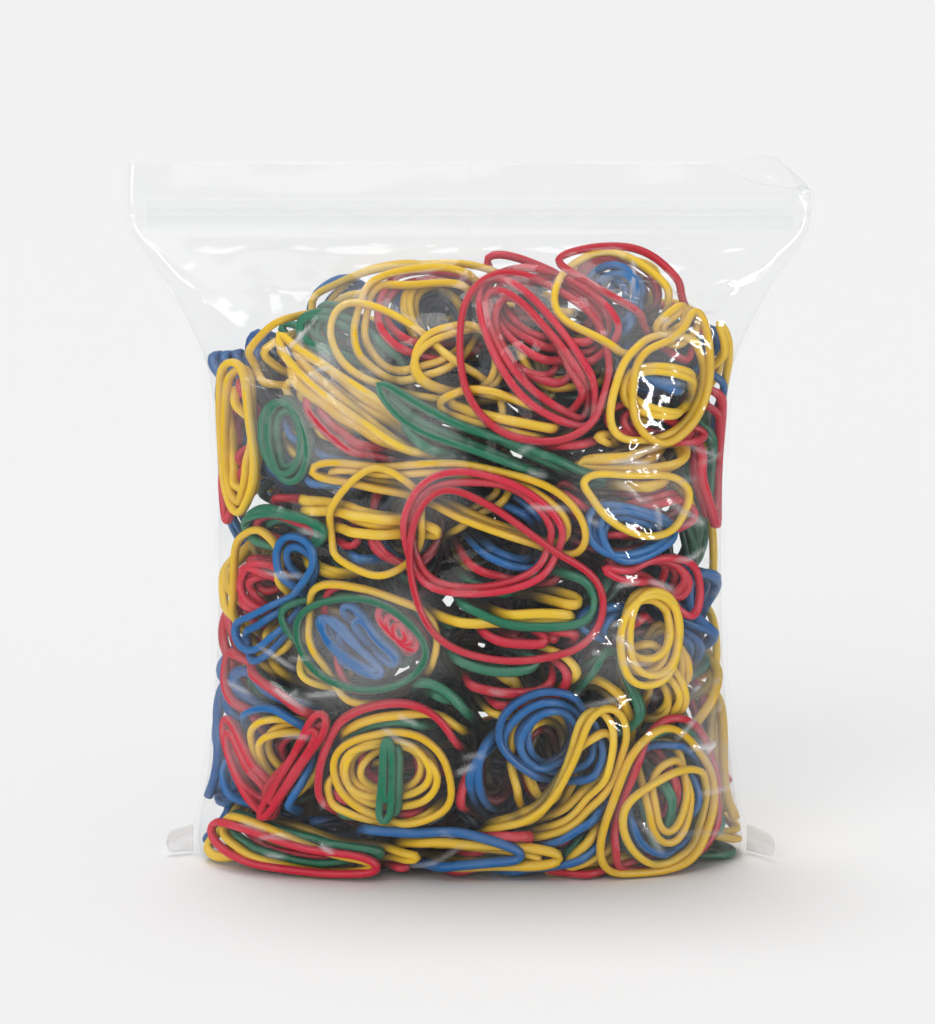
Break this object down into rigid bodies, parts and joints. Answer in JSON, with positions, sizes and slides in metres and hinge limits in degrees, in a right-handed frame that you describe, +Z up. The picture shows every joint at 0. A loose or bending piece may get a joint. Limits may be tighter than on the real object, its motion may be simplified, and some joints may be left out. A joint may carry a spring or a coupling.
{
  "type": "bag of elastic bands",
  "caption": "Clear press-to-close film bag, standing on its base and packed with loose coloured elastic bands; the zip mouth opens front and back.",
  "frame": {"origin": "middle of the flat base, on the surface the bag stands on", "axes": "+Z up to the mouth, +X across the bag to the right as seen from the front, -Y out of the front film"},
  "size_m": [0.1158, 0.0444, 0.1186],
  "materials": {
    "clear_film": "clear soft film, slightly hazy",
    "welded_film": "clear film, melted double at the seam",
    "zip_film": "milky translucent extrusion",
    "yellow_rubber": "satin, slightly dusty",
    "red_rubber": "satin, slightly dusty",
    "green_rubber": "satin, slightly dusty",
    "blue_rubber": "satin, slightly dusty"
  },
  "bodies": {
    "bag_body": {"back_wall": "clear_film", "base_panel": "clear_film", "blue_bands_back_centre": "blue_rubber", "blue_bands_back_lower": "blue_rubber", "blue_bands_back_upper": "blue_rubber", "blue_bands_front_centre": "blue_rubber", "blue_bands_front_lower": "blue_rubber", "blue_bands_front_upper": "blue_rubber", "blue_bands_middle_centre": "blue_rubber", "blue_bands_middle_lower": "blue_rubber", "blue_bands_middle_upper": "blue_rubber", "front_wall": "clear_film", "green_bands_back_centre": "green_rubber", "green_bands_back_lower": "green_rubber", "green_bands_back_upper": "green_rubber", "green_bands_front_centre": "green_rubber", "green_bands_front_lower": "green_rubber", "green_bands_front_upper": "green_rubber", "green_bands_middle_centre": "green_rubber", "green_bands_middle_lower": "green_rubber", "green_bands_middle_upper": "green_rubber", "left_bottom_corner": "welded_film", "left_side_weld": "welded_film", "left_zip_end": "zip_film", "red_bands_back_centre": "red_rubber", "red_bands_back_lower": "red_rubber", "red_bands_back_upper": "red_rubber", "red_bands_front_centre": "red_rubber", "red_bands_front_lower": "red_rubber", "red_bands_front_upper": "red_rubber", "red_bands_middle_centre": "red_rubber", "red_bands_middle_lower": "red_rubber", "red_bands_middle_upper": "red_rubber", "right_bottom_corner": "welded_film", "right_side_weld": "welded_film", "right_zip_end": "zip_film", "yellow_bands_back_centre": "yellow_rubber", "yellow_bands_back_lower": "yellow_rubber", "yellow_bands_back_upper": "yellow_rubber", "yellow_bands_front_centre": "yellow_rubber", "yellow_bands_front_lower": "yellow_rubber", "yellow_bands_front_upper": "yellow_rubber", "yellow_bands_middle_centre": "yellow_rubber", "yellow_bands_middle_lower": "yellow_rubber", "yellow_bands_middle_upper": "yellow_rubber"},
    "front_mouth": {"front_mouth_film": "clear_film", "zip_channel_strip": "zip_film"},
    "back_mouth": {"back_mouth_film": "clear_film", "zip_rib_strip": "zip_film"}
  },
  "joints": [
    {"name": "front_mouth_open", "type": "hinge", "parent": "bag_body", "child": "front_mouth", "pos_m": [0, -0.015, 0.086], "axis": [1, 0, 0], "range_deg": [0, 31]},
    {"name": "back_mouth_open", "type": "hinge", "parent": "bag_body", "child": "back_mouth", "pos_m": [0, 0.015, 0.086], "axis": [-1, 0, 0], "range_deg": [0, 31]}
  ],
  "couplings": [
    {"joint": "back_mouth_open", "follows": "front_mouth_open", "ratio": 1}
  ]
}
